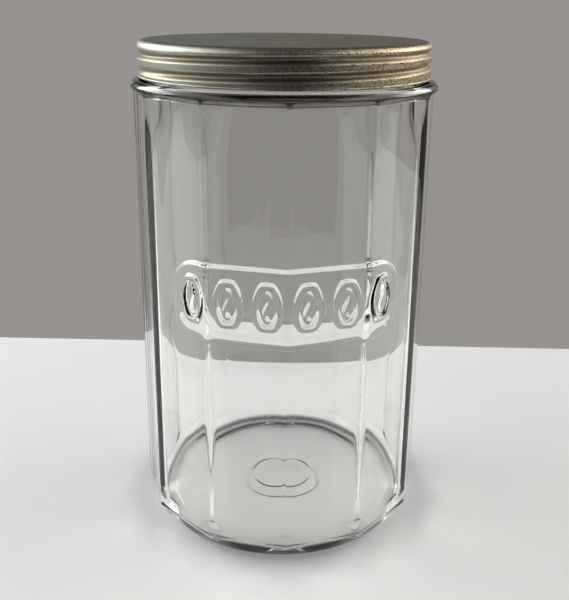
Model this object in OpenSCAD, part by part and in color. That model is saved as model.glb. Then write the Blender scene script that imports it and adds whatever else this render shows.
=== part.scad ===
// Panelled glass storage jar with a screw lid.
// Millimetres. Origin at the centre of the foot, +Z up, the raised front pad faces -Y.

/* [Glass body] */
// Radius of the twelve-sided body, measured to its corners
body_corner_r = 57.2; // [45:0.1:75]
// Number of flat panels around the body
panel_count = 12; // [12:1:12]
// Height of the rim above the surface the jar stands on
jar_height = 187.4; // [140:0.1:240]
// Radius inside the body
bore_r = 51.4; // [40:0.1:54]
// Thickness of the floor at its middle
floor_t = 5; // [3:0.1:9]
// Radius between the floor and the inner wall
floor_fillet = 2.5; // [2:0.5:12]
// Height of the lower corners of the panels
heel_h = 7.8; // [4:0.1:14]
// How far the heel tucks in under the panels
heel_tuck = 3.4; // [1:0.1:6]
// Depth of the hollow under the floor
push_up = 1; // [0.4:0.1:2]
// Width of the ring that the jar stands on
foot_ring_w = 9; // [5:0.5:14]
// Corner radius at the top of each panel
panel_arch_r = 5; // [3:0.5:8]
// How far the round shoulder ring stands out past the panel corners
ring_stand = 0.4; // [0.2:0.1:1]
// Height of the round shoulder ring above the panels
ring_h = 4; // [3:0.5:8]
// Radius over the top of the shoulder ring
shoulder_r = 2.8; // [1.5:0.1:4]

/* [Glass neck and thread] */
// Radius of the neck under the thread
neck_r = 52.2; // [40:0.1:56]
// Thickness of the neck
neck_t = 4.2; // [3:0.1:6]
// How far the glass thread stands out of the neck
thread_h = 1.25; // [0.9:0.05:1.6]
// Width of the glass thread where it leaves the neck
thread_w = 2.7; // [2:0.1:3]
// Distance that the lid rises in one turn
thread_pitch = 5.4; // [5:0.1:6.5]
// Full-height length of the glass thread, in turns
thread_turns = 0.95; // [0.6:0.05:1.2]

/* [Lid] */
// Thickness of the tinplate
tin_t = 0.45; // [0.35:0.05:0.6]
// Gap between the glass thread and the widest inside of the lid
lid_gap = 0.5; // [0.3:0.05:0.8]
// Depth of the rolled groove that forms the lid's thread
roll_depth = 1.3; // [1:0.05:1.35]
// Width of the rolled groove at its mouth
roll_w = 2.4; // [2:0.1:2.6]
// Height of the lid's side
skirt_h = 13.2; // [12.8:0.1:16]
// Radius over the lid's top edge
lid_edge_r = 2.6; // [1.5:0.1:3.2]
// Azimuth where the rolled groove starts, from the front towards the right
roll_start = 17; // [0:1:60]

/* [Liner] */
// Thickness of the pulpboard disc
board_t = 0.9; // [0.6:0.1:1.5]
// Thickness of the waxed facing
facing_t = 0.25; // [0.2:0.05:0.5]
// Gap between the liner and the lid around it
liner_gap = 0.35; // [0.3:0.05:1]

/* [Raised front pad] */
// Half of the angle that the pad covers
pad_half_angle = 45.5; // [44:0.5:48]
// Height of the pad's lower edge
pad_z = 89; // [60:0.5:110]
// Height of the pad from edge to edge
pad_h = 28; // [24:0.5:34]
// Corner radius of the pad
pad_corner_r = 9.5; // [5:0.5:12]
// How far the pad stands out of the panels
pad_relief = 1.2; // [0.8:0.1:1.6]
// Height of each bean on the pad
bean_h = 17; // [12:0.5:20]
// Width of each bean
bean_w = 10.4; // [8:0.1:10.6]
// Width of the raised line that draws each bean
bean_line = 1.9; // [1.4:0.1:2.4]
// How far the beans stand out of the pad
bean_relief = 1; // [0.6:0.1:1.4]
// Angle from one bean to the next
bean_step = 14.1; // [13.8:0.1:14.2]

/* [Hidden] */
$fn = 96;

// Panels
panel_angle = 360 / panel_count;
panel_apothem = body_corner_r * cos(panel_angle / 2);
ring_r = body_corner_r + ring_stand;

// Heights, from the rim down
liner_t = board_t + facing_t;
lid_top_z = jar_height + liner_t + tin_t;
lid_low_z = lid_top_z - skirt_h;
skirt_to_glass = 0.7;
shoulder_z = lid_low_z - skirt_to_glass;
panel_top_z = shoulder_z - shoulder_r - ring_h;
mouth_r = neck_r - neck_t;

// Lid radii
thread_r = neck_r + thread_h;
lid_in_r = thread_r + lid_gap;
lid_r = lid_in_r + tin_t;

// Thread heights, at the azimuth where the rolled groove starts
top_groove_z = lid_top_z - lid_edge_r - roll_w / 2 + 0.3;
thread_offset = thread_pitch / 2 + 0.2;
curl_h = 1;
roll_turns = (top_groove_z - lid_low_z - curl_h - roll_w / 2) / thread_pitch;

// A smooth step from 0 to 1 as t goes from 0 to 1
function ease(t) = let (c = min(1, max(0, t))) c * c * (3 - 2 * c);

// Points on an arc in the plane of a profile
function arc(cx, cz, r, a0, a1, steps) =
    [for (i = [0 : steps]) let (a = a0 + (a1 - a0) * i / steps) [cx + r * cos(a), cz + r * sin(a)]];

// Azimuth 0 is the front, and positive azimuths go to the right
function around(r, azimuth, z) = [r * sin(azimuth), -r * cos(azimuth), z];

// ---------------------------------------------------------------- glass jar

// The round blank that the panels are cut into: foot, heel, body, shoulder and neck
module jar_blank() {
    foot_r = panel_apothem - heel_tuck;
    heel_rise = 0.8;
    rotate_extrude()
        polygon(concat(
            [[0, 0], [foot_r - 1.6, 0], [foot_r, heel_rise]],
            [[ring_r, heel_h], [ring_r, shoulder_z - shoulder_r]],
            arc(ring_r - shoulder_r, shoulder_z - shoulder_r, shoulder_r, 10, 90, 8),
            [[neck_r, shoulder_z], [neck_r, jar_height - 1.2]],
            arc(neck_r - 1.2, jar_height - 1.2, 1.2, 15, 90, 5),
            [[0, jar_height]]));
}

// Everything outside one panel, with rounded top corners. It starts a little lower than the panel does,
// where the slope of the heel takes the same glass away, and it runs a little past the panel's corners.
module panel_cut() {
    half_w = body_corner_r * sin(panel_angle / 2) + 0.4;
    reach = ring_r - panel_apothem + 1;
    low = heel_h * 0.6;
    translate([0, -panel_apothem, 0])
        rotate([90, 0, 0])
            linear_extrude(reach) {
                translate([-half_w, low])
                    square([2 * half_w, panel_top_z - panel_arch_r - low]);
                translate([-half_w + panel_arch_r, low])
                    square([2 * (half_w - panel_arch_r), panel_top_z - low]);
                for (side = [-1, 1])
                    translate([side * (half_w - panel_arch_r), panel_top_z - panel_arch_r])
                        circle(panel_arch_r);
            }
}

// The slope that takes one panel's lower edge in to the foot
module heel_cut() {
    slope = atan(heel_tuck / heel_h);
    translate([0, -panel_apothem, heel_h])
        rotate([slope, 0, 0])
            translate([-body_corner_r / 2, -20, -3 * heel_h])
                cube([body_corner_r, 20, 3 * heel_h]);
}

// The space inside: rounded floor, straight wall, shoulder and mouth
module jar_hollow() {
    wall_top = panel_top_z + 1;
    neck_low = shoulder_z + 1;
    rotate_extrude()
        polygon(concat(
            [[0, floor_t]],
            arc(bore_r - floor_fillet, floor_t + floor_fillet, floor_fillet, -90, 0, 8),
            [[bore_r, wall_top], [mouth_r, neck_low], [mouth_r, jar_height - 0.8]],
            [[mouth_r + 0.8, jar_height], [mouth_r + 0.8, jar_height + 1], [0, jar_height + 1]]));
}

// The ring that the jar stands on surrounds a shallow hollow
module foot_hollow() {
    hollow_r = panel_apothem - heel_tuck - 1.6 - foot_ring_w;
    translate([0, 0, -1])
        cylinder(h = push_up + 1, r1 = hollow_r + 1, r2 = hollow_r);
}

// A pad that follows the panels, bounded by a rounded rectangle seen from the front
module front_pad() {
    half_w = (body_corner_r + pad_relief) * sin(pad_half_angle);
    corner_x = half_w - pad_corner_r;
    intersection() {
        rotate([0, 0, -90])
            translate([0, 0, pad_z - 1])
                cylinder(h = pad_h + 2, r = body_corner_r + pad_relief / cos(panel_angle / 2), $fn = panel_count);
        translate([0, -bore_r / 2, 0])
            rotate([90, 0, 0])
                linear_extrude(body_corner_r) {
                    translate([-corner_x, pad_z])
                        square([2 * corner_x, pad_h]);
                    translate([-half_w, pad_z + pad_corner_r])
                        square([2 * half_w, pad_h - 2 * pad_corner_r]);
                    for (sx = [-1, 1], z = [pad_z + pad_corner_r, pad_z + pad_h - pad_corner_r])
                        translate([sx * corner_x, z])
                            circle(pad_corner_r);
                }
    }
}

// A bean's outline, as wide as w and as high as h: two large arcs for the sides and one small arc for each end
module bean_outline(w, h) {
    full_h = 1.25 * h;
    r = (w * w + full_h * full_h) / (4 * w);
    intersection() {
        translate([r - w / 2, 0]) circle(r);
        translate([w / 2 - r, 0]) circle(r);
        circle(h / 2);
    }
}

// One bean drawn with raised lines, standing on the pad
module bean(azimuth) {
    panel = round((azimuth - panel_angle / 2) / panel_angle) * panel_angle + panel_angle / 2;
    pad_apothem = panel_apothem + pad_relief;
    offset_x = pad_apothem * tan(azimuth - panel);
    rotate([0, 0, panel])
        translate([offset_x, -pad_apothem + 1, pad_z + pad_h / 2 + 1])
            rotate([90, 0, 0])
                linear_extrude(bean_relief + 1) {
                    difference() {
                        bean_outline(bean_w, bean_h);
                        bean_outline(bean_w - 2 * bean_line, bean_h - 2 * bean_line);
                    }
                    square([bean_line * 0.8, bean_h - 3 * bean_line], center = true);
                }
}

// Share of the full thread height along its length: full, and run out at both ends
function thread_fade(t, total) = ease(t / 0.08) * ease((total - t) / 0.08);

// The glass thread, swept down from its upper end, with its root sunk in the neck
module glass_thread() {
    total = thread_turns + 0.16;
    steps = 80;
    top_z = top_groove_z - thread_offset;
    sink = 0.6;
    section = [[0, -0.6], [1, -0.22], [1, 0.22], [0, 0.6]];
    sides = len(section);
    points = [
        for (i = [0 : steps], s = section)
            let (
                t = total * i / steps,
                crest = -sink / 2 + (thread_h + sink / 2) * thread_fade(t, total),
                out = s[0] == 0 ? -sink : crest
            )
            around(neck_r + out, roll_start - 360 * t, top_z - thread_pitch * t + s[1] * thread_w)
    ];
    quads = [
        for (i = [0 : steps - 1], k = [0 : sides - 1])
            let (a = i * sides, b = a + sides, n = (k + 1) % sides)
            [a + k, a + n, b + n, b + k]
    ];
    ends = [[for (k = [sides - 1 : -1 : 0]) k], [for (k = [0 : sides - 1]) steps * sides + k]];
    polyhedron(points = points, faces = concat(quads, ends), convexity = 6);
}

module glass_jar() {
    color([0.86, 0.89, 0.88, 0.35])
        difference() {
            union() {
                difference() {
                    jar_blank();
                    for (i = [0 : panel_count - 1])
                        rotate([0, 0, panel_angle * (i + 0.5)])
                            panel_cut();
                    for (i = [0 : panel_count - 1])
                        rotate([0, 0, panel_angle * (i + 0.5)])
                            heel_cut();
                }
                front_pad();
                for (i = [-2.5 : 2.5])
                    bean(i * bean_step);
                glass_thread();
            }
            jar_hollow();
            foot_hollow();
        }
}

// ---------------------------------------------------------------- lid

// Depth of the rolled thread groove at a height and azimuth
function groove_depth(z, azimuth) =
    let (
        turn = (roll_start - azimuth) / 360,
        along = (top_groove_z - z) / thread_pitch,
        near = round(along - turn) + turn,
        fade = ease((near + 0.04) / 0.08) * ease((roll_turns - near) / 0.12),
        gap = abs(along - near) * thread_pitch / (roll_w / 2)
    )
    roll_depth * fade * (gap < 1 ? (1 + cos(180 * gap)) / 2 : 0);

// Depth of the plain groove under the top edge. It gives way to the thread groove where that one leaves it,
// and comes back where the thread groove has fallen clear of it.
function top_groove_depth(z, azimuth) =
    let (
        turn = (roll_start - azimuth + 360) / 360,
        lap = turn - floor(turn),
        share = 1 - ease(lap / 0.06) * (1 - ease((lap - 0.4) / 0.12)),
        gap = abs(z - top_groove_z) / (roll_w / 2)
    )
    roll_depth * 0.9 * share * (gap < 1 ? (1 + cos(180 * gap)) / 2 : 0);

function wall_r(z, azimuth) = lid_r - max(groove_depth(z, azimuth), top_groove_depth(z, azimuth));

// The lid's section at one azimuth: out along the top, down the outside, and back up the inside
function lid_section(azimuth) =
    let (
        wall_steps = 22,
        edge_steps = 5,
        centre_r = lid_r - lid_edge_r,
        high = lid_top_z - lid_edge_r,
        low = lid_low_z + curl_h * 0.6,
        heights = [for (k = [1 : wall_steps]) high + (low - high) * k / wall_steps]
    )
    concat(
        arc(centre_r, high, lid_edge_r, 90, 0, edge_steps),
        [for (z = heights) [wall_r(z, azimuth), z]],
        [[lid_r, lid_low_z], [lid_r - tin_t, lid_low_z]],
        [for (k = [wall_steps - 1 : -1 : 0]) [wall_r(heights[k], azimuth) - tin_t, heights[k]]],
        arc(centre_r, high, lid_edge_r - tin_t, 0, 90, edge_steps)
    );

// One pressing: the section carried around the axis, closed by the flat top and its underside
module lid_shell() {
    around_steps = 72;
    sections = [for (i = [0 : around_steps - 1]) lid_section(360 * i / around_steps)];
    ring = len(sections[0]);
    top_pole = around_steps * ring;
    points = concat(
        [for (i = [0 : around_steps - 1], p = sections[i]) around(p[0], 360 * i / around_steps, p[1])],
        [[0, 0, lid_top_z], [0, 0, lid_top_z - tin_t]]
    );
    walls = [
        for (i = [0 : around_steps - 1], k = [0 : ring - 2])
            let (a = i * ring + k, b = ((i + 1) % around_steps) * ring + k)
            each [[a, a + 1, b + 1], [a, b + 1, b]]
    ];
    discs = [
        for (i = [0 : around_steps - 1])
            let (a = i * ring, b = ((i + 1) % around_steps) * ring)
            each [[a, b, top_pole], [b + ring - 1, a + ring - 1, top_pole + 1]]
    ];
    color([0.62, 0.6, 0.54])
        polyhedron(points = points, faces = concat(walls, discs), convexity = 8);
}

// ---------------------------------------------------------------- liner

// The liner lies inside both the grooves and the lid's rounded edge
liner_r = lid_r - max(roll_depth + tin_t, lid_edge_r) - liner_gap;

module liner_board() {
    color([0.72, 0.63, 0.48])
        translate([0, 0, jar_height + facing_t])
            cylinder(h = board_t, r = liner_r);
}

module liner_facing() {
    color([0.9, 0.87, 0.78])
        translate([0, 0, jar_height])
            cylinder(h = facing_t, r = liner_r);
}

glass_jar();
lid_shell();
liner_board();
liner_facing();
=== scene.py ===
"""Panelled glass storage jar with an aged tinplate screw lid, a pulpboard liner and its waxed facing.

Sizes are in millimetres until a surface is made. Azimuths are in degrees, from the front towards the right.
"""
import math

import bpy
import numpy as np
from mathutils import Matrix, Vector


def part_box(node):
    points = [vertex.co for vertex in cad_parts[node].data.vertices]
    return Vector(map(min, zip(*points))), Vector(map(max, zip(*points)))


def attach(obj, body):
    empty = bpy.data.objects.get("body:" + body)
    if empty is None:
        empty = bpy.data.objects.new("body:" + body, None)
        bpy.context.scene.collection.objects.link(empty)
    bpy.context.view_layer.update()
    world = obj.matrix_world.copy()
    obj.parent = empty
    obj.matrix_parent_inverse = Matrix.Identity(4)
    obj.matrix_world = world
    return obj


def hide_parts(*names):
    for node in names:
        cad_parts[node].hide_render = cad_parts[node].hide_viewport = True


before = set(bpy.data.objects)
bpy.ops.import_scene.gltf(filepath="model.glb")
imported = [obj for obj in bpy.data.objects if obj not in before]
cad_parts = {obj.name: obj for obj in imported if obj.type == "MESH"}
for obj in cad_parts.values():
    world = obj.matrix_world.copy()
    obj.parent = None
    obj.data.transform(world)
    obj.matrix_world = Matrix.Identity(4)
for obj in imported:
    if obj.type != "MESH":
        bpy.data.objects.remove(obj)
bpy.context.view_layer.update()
MM = 0.001


# ---------------------------------------------------------------- camera, table and light
# The jar stands near the back of a pale table. The room beyond the table is a plain mid grey. It is bright to
# both sides, and dark overhead and in front of the jar. A soft window stands at the left and at the right.
# Glossy light isn't filtered, or too little of it would reach the jar's floor through the glass.
camera_data = bpy.data.cameras.new("camera")
camera_data.lens = 49.17
camera_data.sensor_width = 36
camera_data.shift_y = -0.06
camera = bpy.data.objects.new("camera", camera_data)
camera_place = (-0.0106, -0.3154, 0.2048)
bearing, pitch, roll = math.radians(2.05), math.radians(18.22), math.radians(0.553)
camera.matrix_world = (
    Matrix.Translation(camera_place)
    @ Matrix.Rotation(-bearing, 4, "Z")
    @ Matrix.Rotation(math.pi / 2 - pitch, 4, "X")
    @ Matrix.Rotation(roll, 4, "Z")
)
bpy.context.scene.collection.objects.link(camera)
bpy.context.scene.camera = camera
bpy.context.scene.view_settings.view_transform = "Standard"
bpy.context.scene.cycles.blur_glossy = 0


def new_material(name, **values):
    """A node material with the given values on its shader's own sockets, and its node tree."""
    material = bpy.data.materials.new(name)
    material.use_nodes = True
    shader = material.node_tree.nodes["Principled BSDF"]
    for socket, value in values.items():
        shader.inputs[socket.replace("_", " ")].default_value = value
    return material, material.node_tree, shader


def add_node(tree, kind, settings=None, **links):
    """A node of one kind, with its settings. Each named input is linked to a socket or set to a value."""
    made = tree.nodes.new("ShaderNode" + kind)
    for name, value in (settings or {}).items():
        setattr(made, name, value)
    for name, value in links.items():
        socket = made.inputs[int(name[1:])] if name[0] == "i" and name[1:].isdigit() else made.inputs[name]
        if isinstance(value, bpy.types.NodeSocket):
            tree.links.new(value, socket)
        else:
            socket.default_value = value
    return made


def colour_ramp(tree, factor, stops):
    """A colour ramp over a factor, with its stops as (place, colour) pairs."""
    ramp = add_node(tree, "ValToRGB", Fac=factor)
    elements = ramp.color_ramp.elements
    while len(elements) < len(stops):
        elements.new(0.5)
    for element, (place, colour) in zip(elements, stops):
        element.position = place
        element.color = (*colour, 1)
    return ramp.outputs["Color"]


def ranged(tree, value, low, high, to_low=0.0, to_high=1.0, smooth=False):
    """A value carried from one range to another and held at both ends, which are soft if it is smooth."""
    settings = {"interpolation_type": "SMOOTHSTEP"} if smooth else {}
    limits = {"From Min": low, "From Max": high, "To Min": to_low, "To Max": to_high}
    return add_node(tree, "MapRange", settings, Value=value, **limits).outputs["Result"]


def mixed(tree, factor, first, second):
    """A colour that goes from the first to the second as the factor goes from 0 to 1."""
    return add_node(tree, "Mix", {"data_type": "RGBA"}, Factor=factor, i6=first, i7=second).outputs[2]


def multiplied(tree, first, second):
    """The product of two values."""
    return add_node(tree, "Math", {"operation": "MULTIPLY"}, i0=first, i1=second).outputs[0]


table_turn = math.radians(-3.61)
table_back, table_front, table_side = 150.9, -270, 1500
along = np.array([math.cos(table_turn), math.sin(table_turn)])
back_middle = np.array([0, table_back])
front_middle = np.array([0, table_front])
table_corners = [
    front_middle - table_side * along,
    front_middle + table_side * along,
    back_middle + table_side * along,
    back_middle - table_side * along,
]
table_z = -0.2
table_mesh = bpy.data.meshes.new("table_top")
table_mesh.from_pydata([(x * MM, y * MM, table_z * MM) for x, y in table_corners], [], [(0, 1, 2, 3)])
table = bpy.data.objects.new("table_top", table_mesh)
bpy.context.scene.collection.objects.link(table)
table_paint, tree, shader = new_material("table_paint", Roughness=0.45)
table_place = add_node(tree, "TexCoord").outputs["Object"]
table_mottle = add_node(tree, "TexNoise", Vector=table_place, Scale=3.0, Detail=3.0).outputs["Fac"]
table_colour = colour_ramp(tree, table_mottle, [(0.3, (0.80, 0.80, 0.815)), (0.7, (0.86, 0.86, 0.87))])
tree.links.new(table_colour, shader.inputs["Base Color"])
table_mesh.materials.append(table_paint)


jar_middle = Vector((0, 0, 0.1))
window_width, window_height = 0.8, 0.5


def window(name, place, power, colour):
    """A rectangular area light at a place in metres, aimed at the middle of the jar."""
    data = bpy.data.lights.new(name, "AREA")
    data.shape = "RECTANGLE"
    data.size, data.size_y = window_width, window_height
    data.energy = power
    data.color = colour
    light = bpy.data.objects.new(name, data)
    light.location = place
    aim = jar_middle - Vector(place)
    light.rotation_mode = "QUATERNION"
    light.rotation_quaternion = aim.to_track_quat("-Z", "Y")
    light.visible_camera = False
    bpy.context.scene.collection.objects.link(light)


window("window_left", (-0.85, 0.40, 0.50), 6.0, (0.97, 1.0, 0.96))
window("window_right", (0.90, 0.35, 0.50), 3.8, (1.0, 0.96, 0.88))

world = bpy.data.worlds.new("room")
world.use_nodes = True
bpy.context.scene.world = world
tree = world.node_tree
look = add_node(tree, "TexCoord").outputs["Generated"]
look_along = add_node(tree, "SeparateXYZ", Vector=look).outputs
backwards = ranged(tree, look_along["Y"], -0.35, 0.3, smooth=True)
room = colour_ramp(tree, backwards, [(0.0, (0.02, 0.02, 0.02)), (1.0, (0.305, 0.292, 0.281))])
upwards = ranged(tree, look_along["Z"], 0.06, 0.35, smooth=True)
dimmed = mixed(tree, upwards, room, (0.05, 0.05, 0.05, 1))
aside = add_node(tree, "Math", {"operation": "ABSOLUTE"}, i0=look_along["X"]).outputs[0]
beside = ranged(tree, aside, 0.4, 0.75, smooth=True)
sky = mixed(tree, multiplied(tree, upwards, beside), dimmed, (1.95, 1.95, 1.92, 1))
tree.links.new(sky, tree.nodes["Background"].inputs["Color"])


# ---------------------------------------------------------------- glass jar
# One pressing of clear glass: a round foot, twelve flat panels with arched tops, a round shoulder ring, and a
# neck with the thread on it. A pad across the front carries six raised coffee beans. Inside, the wall follows
# the panels a little, and a ledge steps in to the mouth. The heel is painted near black: painted shade for
# the dark band that refraction shows in the thick base.
jar_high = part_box("glass_jar")[1]
ring_r = jar_high.x / MM
rim_z = jar_high.z / MM
panel_apothem = 55.25
panel_count = 12
panel_step = 360 / panel_count
panel_top_z, panel_top_half, panel_top_corner, panel_top_edge = 171.7, 15.4, 2.5, 1.4
ring_top_z = 172.3
shoulder_r = 2.8
shoulder_z = ring_top_z + shoulder_r
neck_r, mouth_r = 52.2, 48.0
neck_fillet, rim_out_r, rim_in_r = 0.7, 1.2, 0.8
heel_h, heel_tuck, foot_rise = 7.8, 3.4, 0.8
foot_r = panel_apothem - heel_tuck
bore_r, floor_z, floor_fillet, push_up = 51.4, 5.0, 1.8, 1.0
bore_top_z, ledge_z, ledge_r = 167, 171.7, 1.3
pad_low, pad_high, pad_side, pad_corner, pad_relief = 89.0, 117.0, 41.6, 9.5, 1.2
thread_start, thread_z, thread_pitch, thread_length = 17.0, 182.6, 5.4, 1.11
thread_h, thread_half, thread_run_out, thread_flank = 1.25, 1.35, 0.08, 0.8
bean_step, bean_relief, bean_w, bean_h, bean_line = 14.1, 1.0, 10.4, 17.0, 1.9


def ease(t):
    """A smooth rise from 0 to 1 as t goes from 0 to 1."""
    t = np.clip(t, 0, 1)
    return t * t * (3 - 2 * t)


def inside_edge(distance, width):
    """1 inside an outline and 0 outside, changing smoothly over the width. The distance is below 0 inside."""
    return ease(0.5 - distance / width)


def rounded_rectangle(x, y, half_x, half_y, radius):
    """Distance from a rounded rectangle about the origin: that of a corner's circle or of the nearer side."""
    past_x, past_y = np.abs(x) - (half_x - radius), np.abs(y) - (half_y - radius)
    corner = np.hypot(np.maximum(past_x, 0), np.maximum(past_y, 0))
    return corner + np.minimum(np.maximum(past_x, past_y), 0) - radius


def panelled_radius(azimuth, apothem):
    """Radius of the twelve-sided body: the apothem over the cosine to the nearest panel's middle. The root of
    a high power sum of every panel's cosine stands for the nearest, which rounds the corners a little."""
    power = 283
    middles = panel_step * (np.arange(panel_count) + 0.5)
    facing = np.clip(np.cos(np.radians(azimuth[..., None] - middles)), 0, None)
    return apothem / (facing**power).sum(-1) ** (1 / power)


def slow_waves(azimuth, z, seed, count, finest):
    """The faint ripple of pressed glass: a sum of sine waves around and along the wall, weaker as they get
    finer, with seeded phases. It stays within about 1 either way."""
    steepest = 0.03
    draw = np.random.default_rng(seed)
    total = np.zeros(np.broadcast(azimuth, z).shape)
    for _ in range(count):
        around = draw.integers(2, finest)
        rise = draw.normal() * steepest
        phase = draw.uniform(0, 6.28)
        total = total + np.sin(np.radians(azimuth) * around + z * rise + phase) / around**0.5
    return total / count**0.5


def bean_distance(across, up):
    """Distance from the lines of one coffee bean: a band that follows the inside of its outline, and a crease
    down its middle that bends like an S. Two large arcs make the outline's sides, and a circle its ends."""
    crease_half, crease_bend, bend_rate = 4.8, 0.9, 0.55
    side_r = (bean_w**2 + (1.25 * bean_h) ** 2) / (4 * bean_w)
    shift = side_r - bean_w / 2
    sides = np.maximum(np.hypot(across - shift, up), np.hypot(across + shift, up)) - side_r
    outline = np.maximum(sides, np.hypot(across, up) - bean_h / 2)
    band = np.abs(outline + bean_line / 2) - bean_line / 2
    bend = crease_bend * np.sin(up * bend_rate)
    crease = np.hypot(across - bend, np.maximum(np.abs(up) - crease_half, 0)) - 0.4 * bean_line
    return np.minimum(band, crease)


def front_relief(azimuth, z):
    """How far the pad and its beans stand out of the panels. The jar's back counts as far from the pad."""
    middle_z = (pad_low + pad_high) / 2
    front_end, pad_out, far_away = 80, 0.8, 1000
    x = np.where(np.abs(azimuth) < front_end, (ring_r + pad_out) * np.sin(np.radians(azimuth)), far_away)
    pad = rounded_rectangle(x, z - middle_z, pad_side, (pad_high - pad_low) / 2, pad_corner)
    pad_edge, bean_edge, pad_r, bean_up = 1.7, 0.9, 57.3, 1
    relief = pad_relief * inside_edge(pad, pad_edge)
    for place in np.arange(-2.5, 3):
        across = np.radians(azimuth - place * bean_step) * pad_r
        relief = relief + bean_relief * inside_edge(bean_distance(across, z - middle_z - bean_up), bean_edge)
    return relief


def outside_radius(azimuth, z):
    """Radius of the body outside: the ring's round, cut back to the panels below their arched tops, and
    turned in to the round foot below the heel's edge."""
    drop = np.clip((heel_h - z) / heel_h, 0, 1)
    panel = panelled_radius(azimuth, panel_apothem - heel_tuck * drop)
    local_x = panel_apothem * np.tan(np.radians(azimuth % panel_step - panel_step / 2))
    below_jar = -100
    arch_middle, arch_half = (panel_top_z + below_jar) / 2, (panel_top_z - below_jar) / 2
    arch = rounded_rectangle(local_x, z - arch_middle, panel_top_half, arch_half, panel_top_corner)
    body = ring_r + (panel - ring_r) * inside_edge(arch, panel_top_edge)
    blank = foot_r + (ring_r - foot_r) * np.clip((z - foot_rise) / (heel_h - foot_rise), 0, 1)
    power = 400
    body = body * (1 + (body / blank) ** power) ** (-1 / power)
    ripple_h = 0.02
    ripple = ripple_h * slow_waves(azimuth, z, 3, 9, 24) * ease((z - heel_h) / 9)
    return body + front_relief(azimuth, z) + ripple


def pad_draw(azimuth, z):
    """How the inner wall follows the pad: it swells inwards below the pad's lower edge, draws outwards behind
    the pad, and is plain again above it."""
    swell, draw, side, side_width = 0.75, 0.95, 54, 10
    offset = (draw * ease((z - pad_low + 1) / 13) - swell * ease((z - pad_low + 13) / 13)
              - (draw - swell) * ease((z - pad_high + 7) / 12))
    return offset * ease((side - np.abs(azimuth)) / side_width)


def inner_radius(azimuth, z):
    """Radius of the inner wall: the bore, carried part of the way towards the panels' corners and drawn
    behind the pad, with a slow ripple. It is plain and round near the ledge and near the floor."""
    corner_share, ripple_h, fade_z = 0.65, 0.05, 8
    corners = corner_share * ease((bore_top_z - z) / 14) * ease((z - fade_z) / 5)
    ripple = ripple_h * ease((bore_top_z - z) / 12) * ease((z - fade_z) / 8)
    towards_panels = corners * (panelled_radius(azimuth, bore_r) - bore_r)
    return bore_r + towards_panels + pad_draw(azimuth, z) + ripple * slow_waves(azimuth, z, 5, 14, 30)


def thread_height(azimuth, z):
    """Height of the glass thread above the neck: a rounded ridge along a falling helix, faded at its ends."""
    height = np.zeros(np.broadcast(azimuth, z).shape)
    for lap in (0, 1):
        turns = ((thread_start - azimuth) / 360) % 1 + lap
        off = np.abs(z - (thread_z - thread_pitch * turns))
        fade = ease(turns / thread_run_out) * ease((thread_length - turns) / thread_run_out)
        height = np.maximum(height, thread_h * fade * ease((thread_half - off) / thread_flank))
    return height


def arc_points(centre_r, centre_z, radius, first, last, count):
    """Points (r, z) along an arc, with its angles from the outward direction."""
    angles = np.radians(np.linspace(first, last, count))
    return np.column_stack([centre_r + radius * np.cos(angles), centre_z + radius * np.sin(angles)])


def revolved(profile, columns):
    """Radius and height grids of a profile of (r, z) points carried round the axis."""
    profile = np.asarray(profile, float)
    ones = np.ones(len(columns))
    return profile[:, :1] * ones, profile[:, 1:] * ones


def stacked(stretches):
    """Radius and height grids of several stretches of a surface, one after the other."""
    return np.vstack([radius for radius, _ in stretches]), np.vstack([z for _, z in stretches])


def closed_shell(name, radius, z, columns, start_z, end_z, **attributes):
    """One closed surface from rings of points about the axis, with a pole at its start and its end. Each ring
    goes the way that azimuth grows, and rings that go up have their outside away from the axis."""
    turn = np.radians(columns)
    rings, count = radius.shape
    points = np.stack([radius * np.sin(turn), -radius * np.cos(turn), z * np.ones(count)], -1).reshape(-1, 3)
    points = np.vstack([points, [[0, 0, start_z], [0, 0, end_z]]]) * MM
    ring, column = np.meshgrid(np.arange(rings - 1), np.arange(count), indexing="ij")
    beside = (column + 1) % count
    quads = np.stack([ring * count + column, ring * count + beside, (ring + 1) * count + beside,
                      (ring + 1) * count + column], -1).reshape(-1, 4)
    first = np.arange(count)
    second = (first + 1) % count
    last_ring = (rings - 1) * count
    start = np.column_stack([np.full(count, rings * count), second, first])
    end = np.column_stack([np.full(count, rings * count + 1), last_ring + first, last_ring + second])
    mesh = bpy.data.meshes.new(name)
    mesh.from_pydata(points.tolist(), [], quads.tolist() + start.tolist() + end.tolist())
    mesh.polygons.foreach_set("use_smooth", np.ones(len(mesh.polygons), bool))
    for label, grid in attributes.items():
        values = np.concatenate([np.ravel(grid), [0, 0]]).astype(np.float32)
        mesh.attributes.new(label, "FLOAT", "POINT").data.foreach_set("value", values)
    mesh.update()
    made = bpy.data.objects.new(name, mesh)
    bpy.context.scene.collection.objects.link(made)
    return made


# Columns are half a degree apart across the pad, and wider behind, with extra ones at the panels' corners.
front_half = 47.5
at_corners = (np.arange(0, 360, panel_step)[:, None] + [-1.2, -0.5, 0.5, 1.2]).ravel()
behind = (np.concatenate([np.arange(0, 360, 2.5), at_corners]) + 180) % 360 - 180
behind = behind[np.abs(behind) > front_half + 0.3]
columns = np.unique(np.concatenate([np.linspace(-front_half, front_half, 191), behind]))

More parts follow.
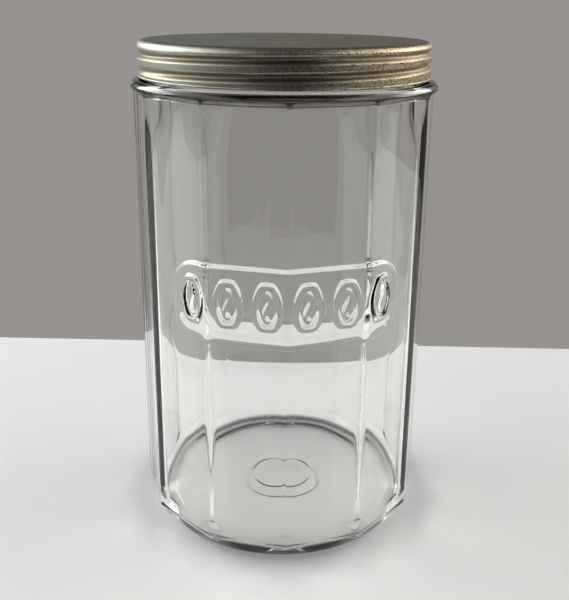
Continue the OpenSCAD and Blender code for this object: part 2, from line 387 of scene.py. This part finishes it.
# The underside is a shallow hollow, with a low round step in its middle, inside the ring the jar stands on.
mark_r, mark_h = 16.0, 0.2
mark_z = push_up + mark_h
underside = revolved(
    [(5, push_up), (12, push_up), (mark_r - 1, push_up), (mark_r - 0.5, push_up),
     (mark_r - 0.2, push_up + mark_h * 0.3), (mark_r + 0.2, push_up + mark_h * 0.7), (mark_r + 0.6, mark_z),
     (mark_r + 1.1, mark_z), (25, mark_z), (36, push_up), (39, push_up * 0.97), (42, push_up * 0.82),
     (44, push_up * 0.62), (46, push_up * 0.35), (47.5, push_up * 0.12), (48.6, 0.01), (49.2, 0), (50.3, 0),
     (50.9, 0.1), (51.4, 0.35), (foot_r, foot_rise)],
    columns)

# The rows of the outer wall are close together at the heel, across the pad and at the arched tops.
heel_z = [1.6, 3.0, 4.5, 6.0, 7.0, 7.5, heel_h, 8.1, 8.7, 10.5]
below_pad_z, pad_z = np.arange(14, 86, 8), np.arange(86.5, 120.5, 0.45)
above_pad_z = [122, 126, 131, 137, 143, 148, 153, 158, 162]
top_z = np.arange(164, 172.2, 0.35)
wall_z = np.concatenate([heel_z, below_pad_z, pad_z, above_pad_z, top_z, [ring_top_z]])[:, None]
wall = outside_radius(columns[None, :], wall_z), wall_z * np.ones(len(columns))

shoulder_curve = arc_points(ring_r - shoulder_r, ring_top_z, shoulder_r, 11, 90, 8)
neck_foot = arc_points(neck_r + neck_fillet, shoulder_z + neck_fillet, neck_fillet, 270, 180, 4)
neck_z = np.arange(176.2, 186.3, 0.42)[:, None]
rim_out = arc_points(neck_r - rim_out_r, rim_z - rim_out_r, rim_out_r, 0, 90, 6)
rim_in = arc_points(mouth_r + rim_in_r, rim_z - rim_in_r, rim_in_r, 90, 180, 5)
shoulder_rows = revolved(np.vstack([shoulder_curve, [[54.0, shoulder_z]], neck_foot]), columns)
neck_rows = neck_r + thread_height(columns[None, :], neck_z), neck_z * np.ones(len(columns))
ledge = np.vstack([arc_points(mouth_r + ledge_r, ledge_z + ledge_r, ledge_r, 180, 260, 7),
                   arc_points(bore_r - ledge_r, ledge_z - ledge_r - 0.2, ledge_r, 80, 0, 7)])
mouth_rows = revolved(np.vstack([rim_out, rim_in, [[mouth_r, 183], [mouth_r, 178]], ledge]), columns)

inner_z = np.concatenate([np.arange(bore_top_z, 125, -4), np.arange(124, 74, -1.3), np.arange(72, 14, -4),
                          np.arange(13, 8, -1)])[:, None]
bore_rows = inner_radius(columns[None, :], inner_z), inner_z * np.ones(len(columns))

# The floor has the fine groove that the mould's plunger leaves, a ring about the middle.
floor_curve = arc_points(bore_r - floor_fillet, floor_z + floor_fillet, floor_fillet, 0, -90, 10)
ring_mark_r, ring_mark_h = 11.2, 0.35
ring_mark_z = floor_z - ring_mark_h
floor_rows = revolved(np.vstack([floor_curve, [
    (40, floor_z), (32, floor_z), (22, floor_z), (14, floor_z), (ring_mark_r + 0.7, floor_z),
    (ring_mark_r + 0.35, floor_z), (ring_mark_r + 0.12, ring_mark_z), (ring_mark_r - 0.12, ring_mark_z),
    (ring_mark_r - 0.35, floor_z), (ring_mark_r - 0.7, floor_z), (8, floor_z), (4, floor_z)]]), columns)

jar_r, jar_z = stacked([underside, wall, shoulder_rows, neck_rows, mouth_rows, bore_rows, floor_rows])
# Painted shade: the heel's outside is given a near-black colour, standing for the dark band that refraction
# shows there.
heel_shade_top_z, heel_shade_fade, heel_shade_inner_r, heel_shade_edge = 3.8, 1.2, 50.2, 0.6
outside = (jar_r > bore_r + 0.1) | (jar_z < floor_z)
heel_shade_share = ease((heel_shade_top_z - jar_z) / heel_shade_fade) * ease((jar_r - heel_shade_inner_r) / heel_shade_edge) * outside
jar = closed_shell("glass_body", jar_r, jar_z, columns, push_up, floor_z, heel=heel_shade_share)

glass, tree, shader = new_material("clear_glass", Roughness=0.0, IOR=1.52, Transmission_Weight=1.0)
absorb = add_node(tree, "VolumeAbsorption", Color=(0.75, 0.78, 0.75, 1), Density=11.0)
tree.links.new(absorb.outputs["Volume"], tree.nodes["Material Output"].inputs["Volume"])
heel_shade = add_node(tree, "Attribute", {"attribute_name": "heel"}).outputs["Fac"]
# Painted shade: the glass colour goes near black where the heel share is high.
glass_colour_and_heel_shade = colour_ramp(tree, heel_shade, [(0.0, (0.985, 0.985, 0.98)), (1.0, (0.035, 0.045, 0.038))])
tree.links.new(glass_colour_and_heel_shade, shader.inputs["Base Color"])
glass_place = add_node(tree, "TexCoord").outputs["Object"]
smears = add_node(tree, "TexNoise", Vector=glass_place, Scale=60.0, Detail=4.0).outputs["Fac"]
smear_rough = ranged(tree, smears, 0.6, 0.8, 0.0, 0.006)
tree.links.new(smear_rough, shader.inputs["Roughness"])
jar.data.materials.append(glass)
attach(jar, "jar")
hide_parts("glass_jar")


# ---------------------------------------------------------------- liner
# The seal under the lid is a disc of grey-brown pulpboard with a waxed paper facing. The facing has taken
# the ring of the jar's rim. Both are punched from sheet, so their edges are a little soft.
board_low, board_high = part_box("liner_board")
facing_low, facing_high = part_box("liner_facing")


def punched_disc(name, low, high, radius, edge, dents):
    """A flat disc with rounded edges. Its underside is lifted by the given depth at each radius."""
    around = np.arange(0, 360, 2.0)
    across = np.concatenate([np.linspace(4, radius - 6, 14), np.linspace(radius - 5, radius - edge, 16)])
    lower = np.column_stack([across, low + dents(across)])
    side = np.vstack([arc_points(radius - edge, low + edge, edge, -90, 0, 4),
                      arc_points(radius - edge, high - edge, edge, 0, 90, 4)])
    upper = np.column_stack([across[::-1], np.full(len(across), high)])
    profile = np.vstack([lower[:-1], side, upper[1:]])
    return closed_shell(name, *revolved(profile, around), around, low, high)


def rim_ring(across):
    """The shallow ring that the jar's rim has pressed into the facing."""
    dent, middle_r, half_w = 0.04, 50.1, 1.4
    return dent * inside_edge(np.abs(across - middle_r) - half_w, 0.8)


def no_dents(across):
    """A flat underside."""
    return 0 * across


facing_edge, board_edge = 0.08, 0.3
facing = punched_disc(
    "waxed_facing", facing_low.z / MM, facing_high.z / MM, facing_high.x / MM, facing_edge, rim_ring)
board = punched_disc(
    "pulp_board", board_low.z / MM, board_high.z / MM, board_high.x / MM, board_edge, no_dents)

waxed, tree, shader = new_material("waxed_paper", Roughness=0.35)
shader.inputs["Coat Weight"].default_value = 0.3
shader.inputs["Coat Roughness"].default_value = 0.3
place = add_node(tree, "TexCoord").outputs["Object"]
stain = add_node(tree, "TexNoise", Vector=place, Scale=35.0, Detail=6.0).outputs["Fac"]
wax_stops = [(0.3, (0.10, 0.08, 0.06)), (0.6, (0.17, 0.13, 0.09)), (0.8, (0.22, 0.18, 0.13))]
wax_colour = colour_ramp(tree, stain, wax_stops)
tree.links.new(wax_colour, shader.inputs["Base Color"])
fibres = add_node(tree, "TexNoise", Vector=place, Scale=900.0, Detail=3.0).outputs["Fac"]
paper_bump = add_node(tree, "Bump", Strength=0.15, Distance=0.0002, Height=fibres)
tree.links.new(paper_bump.outputs["Normal"], shader.inputs["Normal"])
facing.data.materials.append(waxed)
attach(facing, "liner")
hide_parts("liner_facing")

pulp, tree, shader = new_material("pulpboard", Roughness=0.9)
place = add_node(tree, "TexCoord").outputs["Object"]
flecks = add_node(tree, "TexNoise", Vector=place, Scale=700.0, Detail=5.0, Roughness=0.7).outputs["Fac"]
pulp_stops = [(0.3, (0.22, 0.16, 0.10)), (0.5, (0.42, 0.34, 0.23)), (0.7, (0.55, 0.46, 0.33))]
pulp_colour = colour_ramp(tree, flecks, pulp_stops)
tree.links.new(pulp_colour, shader.inputs["Base Color"])
pulp_bump = add_node(tree, "Bump", Strength=0.4, Distance=0.0003, Height=flecks)
tree.links.new(pulp_bump.outputs["Normal"], shader.inputs["Normal"])
board.data.materials.append(pulp)
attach(board, "liner")
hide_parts("liner_board")


# ---------------------------------------------------------------- lid
# The lid is one pressing of thin tinplate. Its side has a plain groove under the top edge and a rolled thread
# groove that falls round it, and the raw edge is curled outwards. The tin is tarnished, and golden with fine
# rust specks on the right. Its colour is darker in the grooves and on their slopes that face up.
lid_low, lid_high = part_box("lid_shell")
lid_r, lid_low_z, lid_top_z = lid_high.x / MM, lid_low.z / MM, lid_high.z / MM
tin_t, lid_edge_r = 0.45, 2.6
roll_depth, roll_w, plain_share = 1.3, 3.6, 0.9
groove_z = lid_top_z - lid_edge_r - 0.9
curl_r = 0.42
roll_turns = (groove_z - lid_low_z - 1.0 - roll_w / 2) / thread_pitch


def groove_shape(off):
    """Depth of a rolled groove at a distance from its middle, as a share: one hump of a cosine."""
    return np.where(off < roll_w / 2, (1 + np.cos(np.clip(off / (roll_w / 2), 0, 1) * np.pi)) / 2, 0)


def groove_depth(azimuth, z):
    """Depth of the grooves in the lid's side: the deeper of the plain groove and the thread groove, which
    falls by one pitch a turn and fades at its ends. The plain groove gives way where the thread leaves it."""
    turn = (thread_start - azimuth) / 360
    along = (groove_z - z) / thread_pitch
    near = np.round(along - turn) + turn
    run_in, run_out = 0.08, 0.12
    fade = ease((near + run_in / 2) / run_in) * ease((roll_turns - near) / run_out)
    thread = roll_depth * fade * groove_shape(np.abs(along - near) * thread_pitch)
    lap = turn % 1
    share = 1 - ease(lap / 0.06) * (1 - ease((lap - 0.4) / 0.12))
    return np.maximum(thread, plain_share * roll_depth * share * groove_shape(np.abs(z - groove_z)))


lid_columns = np.arange(0, 360, 1.5)
edge_centre = lid_r - lid_edge_r
curl_z = lid_low_z + curl_r
side_z = np.linspace(lid_top_z - lid_edge_r, curl_z + 0.5, 46)[:, None]
side_depth = groove_depth(lid_columns[None, :], side_z)
flat = np.array([6, 14, 22, 30, 37, 43, 47, 50, 51.4])
flat_in = np.column_stack([flat, np.full(len(flat), lid_top_z - tin_t)])
inner_edge = arc_points(edge_centre, lid_top_z - lid_edge_r, lid_edge_r - tin_t, 90, 0, 6)
curl_out = arc_points(lid_r - 0.25, curl_z, curl_r, 180, 450, 12)
outer_edge = arc_points(edge_centre, lid_top_z - lid_edge_r, lid_edge_r, 0, 90, 9)
flat_out = np.column_stack([flat[::-1], np.full(len(flat), lid_top_z)])
inner_side = lid_r - tin_t - side_depth, side_z * np.ones(len(lid_columns))
outer_side = (lid_r - side_depth)[::-1], (side_z * np.ones(len(lid_columns)))[::-1]
under_top = revolved(np.vstack([flat_in, inner_edge]), lid_columns)
top = revolved(np.vstack([outer_edge[1:], flat_out]), lid_columns)
lid_radius, lid_z = stacked([under_top, inner_side, revolved(curl_out, lid_columns), outer_side, top])

# The tin's colour is darker in the grooves, and on their slopes that face up.
on_side = (lid_z > lid_low_z + 1) & (lid_z < lid_top_z - 1)
step, full_slope = 0.1, 0.8
facing_up = (groove_depth(lid_columns, lid_z + step) - groove_depth(lid_columns, lid_z - step)) / (2 * step)
groove_share = groove_depth(lid_columns, lid_z) / roll_depth + ease(facing_up / full_slope)
groove_share = np.where(on_side, groove_share, 0)
lid = closed_shell(
    "tin_lid", lid_radius, lid_z, lid_columns, lid_top_z - tin_t, lid_top_z, groove=groove_share)

tin, tree, shader = new_material("aged_tin", Metallic=1.0)
place = add_node(tree, "TexCoord").outputs["Object"]
cloud = add_node(tree, "TexNoise", Vector=place, Scale=28.0, Detail=5.0, Roughness=0.6).outputs["Fac"]
clean = colour_ramp(tree, cloud, [(0.3, (0.30, 0.29, 0.25)), (0.7, (0.50, 0.49, 0.43))])
across = add_node(tree, "SeparateXYZ", Vector=place).outputs["X"]
right_side = ranged(tree, across, -0.01, 0.045)
golden = mixed(tree, right_side, clean, (0.50, 0.40, 0.27, 1))
speck = add_node(tree, "TexNoise", Vector=place, Scale=1500.0, Detail=3.0, Roughness=0.6).outputs["Fac"]
speck_side = ranged(tree, across, -0.03, 0.03, 0.1, 1.0)
specks = multiplied(tree, ranged(tree, speck, 0.5, 0.6), speck_side)
rusty = mixed(tree, specks, golden, (0.10, 0.06, 0.03, 1))
in_groove = add_node(tree, "Attribute", {"attribute_name": "groove"}).outputs["Fac"]
groove_darkened_tin = mixed(tree, multiplied(tree, in_groove, 0.55), rusty, (0.17, 0.14, 0.09, 1))
tree.links.new(groove_darkened_tin, shader.inputs["Base Color"])
rough = ranged(tree, cloud, 0.3, 0.7, 0.48, 0.34)
tree.links.new(rough, shader.inputs["Roughness"])
tin_bump = add_node(tree, "Bump", Strength=0.25, Distance=0.0002, Height=speck)
tree.links.new(tin_bump.outputs["Normal"], shader.inputs["Normal"])
lid.data.materials.append(tin)
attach(lid, "lid")
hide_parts("lid_shell")
